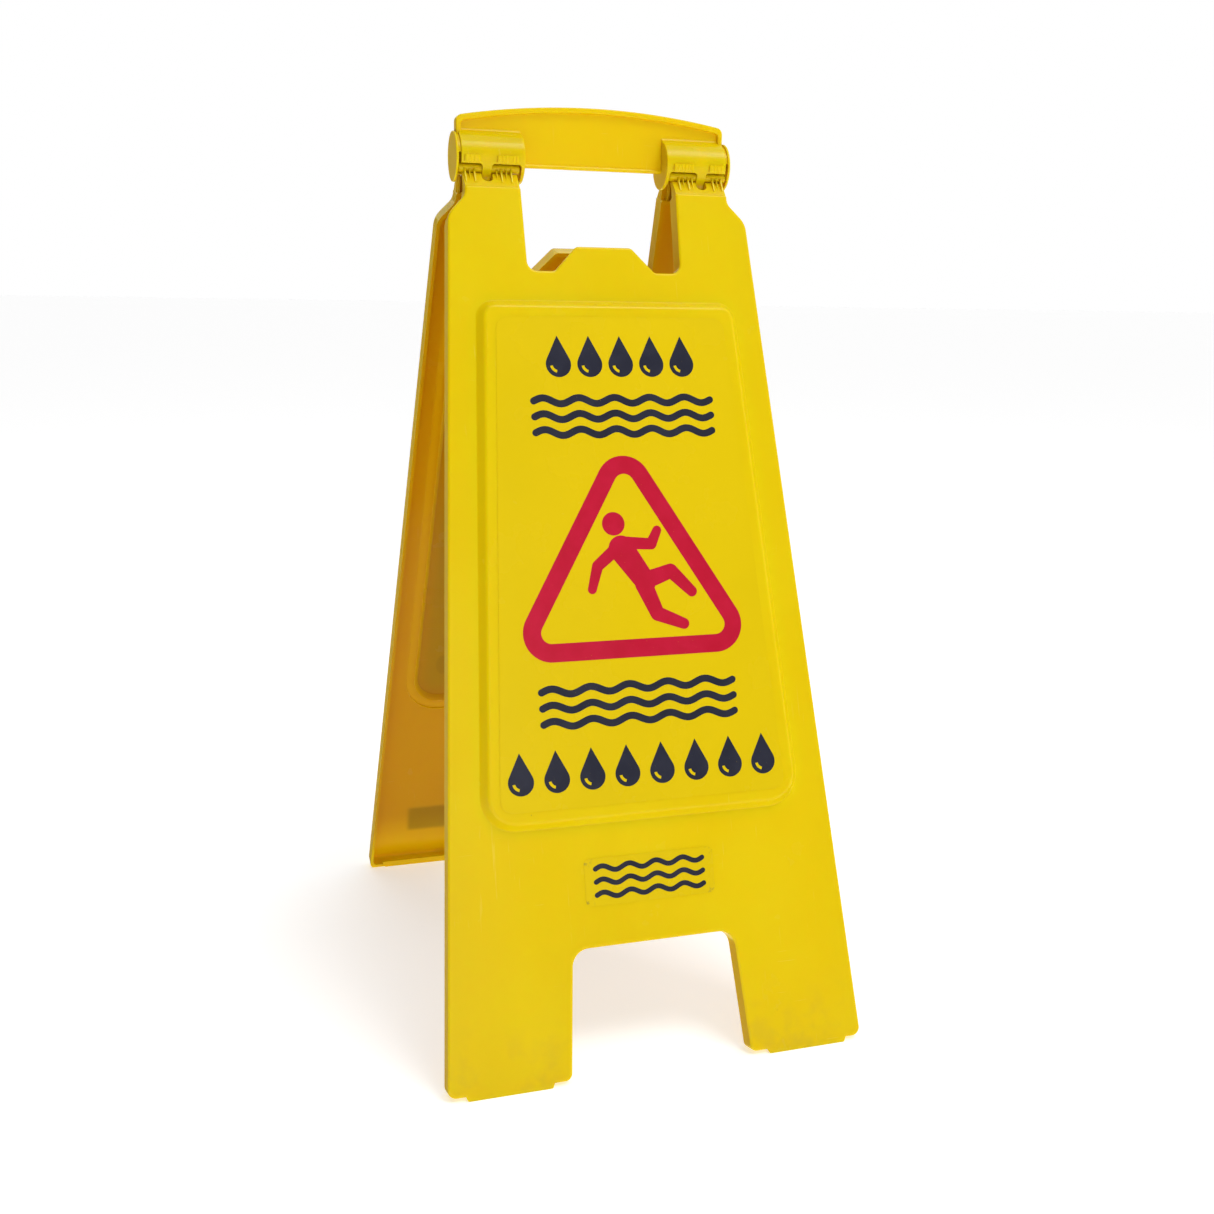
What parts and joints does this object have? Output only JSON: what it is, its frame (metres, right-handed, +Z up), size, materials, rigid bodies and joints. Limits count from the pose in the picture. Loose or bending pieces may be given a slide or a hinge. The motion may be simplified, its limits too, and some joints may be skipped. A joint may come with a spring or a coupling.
{
  "type": "wet floor sign",
  "caption": "Folding A-frame wet floor sign: hinged tray-shaped plastic panels that stand open under an arched carry handle.",
  "frame": {"origin": "on the floor, centred under the open sign", "axes": "+X across the sign to the right as seen from the front, +Y towards the rear panel, +Z up"},
  "size_m": [0.3004, 0.4128, 0.6464],
  "materials": {
    "yellow_plastic": "satin moulded polypropylene, slightly translucent",
    "pin_plastic": "satin moulded polypropylene",
    "message_vinyl": "glossy yellow vinyl with dark blue and red print",
    "lower_vinyl": "glossy yellow vinyl with dark blue print",
    "leg_label_vinyl": "plain off-white vinyl, satin, blank",
    "dark_ink": "dark blue printed ink",
    "red_ink": "crimson printed ink"
  },
  "bodies": {
    "handle": {"carry_handle": "yellow_plastic"},
    "front_leaf": {"front_panel": "yellow_plastic", "front_message_label": "message_vinyl", "front_lower_label": "lower_vinyl", "front_left_hinge_pin": "pin_plastic", "front_right_hinge_pin": "pin_plastic"},
    "rear_leaf": {"rear_panel": "yellow_plastic", "rear_message_label": "message_vinyl", "rear_lower_label": "lower_vinyl", "rear_leg_label": "leg_label_vinyl", "rear_left_hinge_pin": "pin_plastic", "rear_right_hinge_pin": "pin_plastic"}
  },
  "joints": [
    {"name": "front_hinge", "type": "hinge", "parent": "handle", "child": "front_leaf", "pos_m": [0, -0.0098, 0.60238], "axis": [1, 0, 0], "range_deg": [0, 17.3]},
    {"name": "rear_hinge", "type": "hinge", "parent": "handle", "child": "rear_leaf", "pos_m": [0, 0.0098, 0.60238], "axis": [-1, 0, 0], "range_deg": [0, 17.3]}
  ]
}
